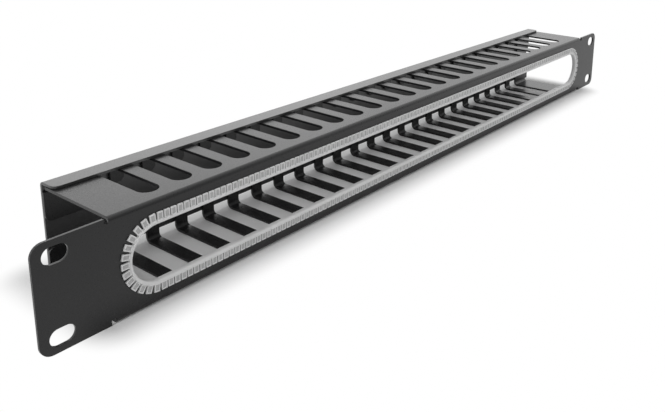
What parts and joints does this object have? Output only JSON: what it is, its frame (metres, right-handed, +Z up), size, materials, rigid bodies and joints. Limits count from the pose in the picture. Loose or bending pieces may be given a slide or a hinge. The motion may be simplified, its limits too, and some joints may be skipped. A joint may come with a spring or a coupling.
{
  "type": "horizontal cable manager",
  "caption": "One-unit rack cable duct of folded sheet with a long edged front opening, finger slots above and below, and a pull-off rear cover.",
  "frame": {"origin": "middle of the front panel on its front face, which is the centre of the four rack slots", "axes": "+X right along the panel, +Y back into the rack, +Z up"},
  "size_m": [0.4826, 0.0497, 0.045],
  "materials": {
    "black_powder_coat": "semi-gloss powder coat",
    "grey_plastic": "satin moulded plastic"
  },
  "bodies": {
    "duct": {"duct_body": "black_powder_coat", "edge_trim": "grey_plastic"},
    "cover": {"rear_cover": "black_powder_coat"}
  },
  "joints": [
    {"name": "cover_pull_off", "type": "slide", "parent": "duct", "child": "cover", "axis": [0, 1, 0], "range_m": [0, 0.06]}
  ]
}
